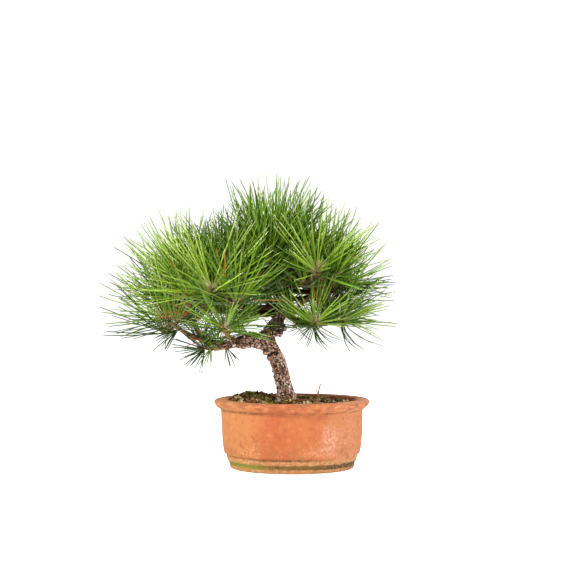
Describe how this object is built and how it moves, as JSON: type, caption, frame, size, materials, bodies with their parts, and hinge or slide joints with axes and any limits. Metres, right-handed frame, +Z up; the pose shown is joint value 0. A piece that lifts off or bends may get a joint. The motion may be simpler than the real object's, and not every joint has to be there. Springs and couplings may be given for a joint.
{
  "type": "japanese black pine bonsai in a terracotta pot",
  "caption": "Small japanese black pine trained as a potted tree: leaning trunk, thick left bough, spreading crown of long needle sprays, oval terracotta pot filled with mossy soil.",
  "frame": {"origin": "middle of the pot's flat underside, which stands on the level surface", "axes": "+Z up along the trunk's climb; -Y towards the viewer of the picture, which is the tree's front; +X to that viewer's right, along the oval pot's longer side"},
  "size_m": [0.3775, 0.3367, 0.3745],
  "materials": {
    "terracotta": "unglazed fired clay, matt, with paler mineral bloom and green algae near the foot",
    "soil": "dark gritty potting soil with patches of moss",
    "bark": "rough scaly bark, grey-brown with pinkish plates",
    "needles": "stiff pine needles, satin green"
  },
  "bodies": {
    "root": {"pot": "terracotta", "soil": "soil", "trunk": "bark", "left_bough": "bark", "bough_left_front": "bark", "bough_left_under": "bark", "bough_left_outer": "bark", "bough_left_mid": "bark", "bough_left_back": "bark", "bough_left_top": "bark", "bough_back_left": "bark", "bough_apex_front": "bark", "bough_right_front": "bark", "bough_right_top": "bark", "bough_right_outer": "bark", "bough_right_low": "bark", "bough_right_inner": "bark", "bough_right_back": "bark", "bough_back_low": "bark", "needles_left_front": "needles", "needles_left_under": "needles", "needles_left_low": "needles", "needles_left_outer": "needles", "needles_left_mid": "needles", "needles_left_back": "needles", "needles_left_top": "needles", "needles_back_left": "needles", "needles_apex": "needles", "needles_apex_front": "needles", "needles_right_front": "needles", "needles_right_top": "needles", "needles_right_outer": "needles", "needles_right_low": "needles", "needles_right_inner": "needles", "needles_right_back": "needles", "needles_back_low": "needles"}
  },
  "joints": []
}
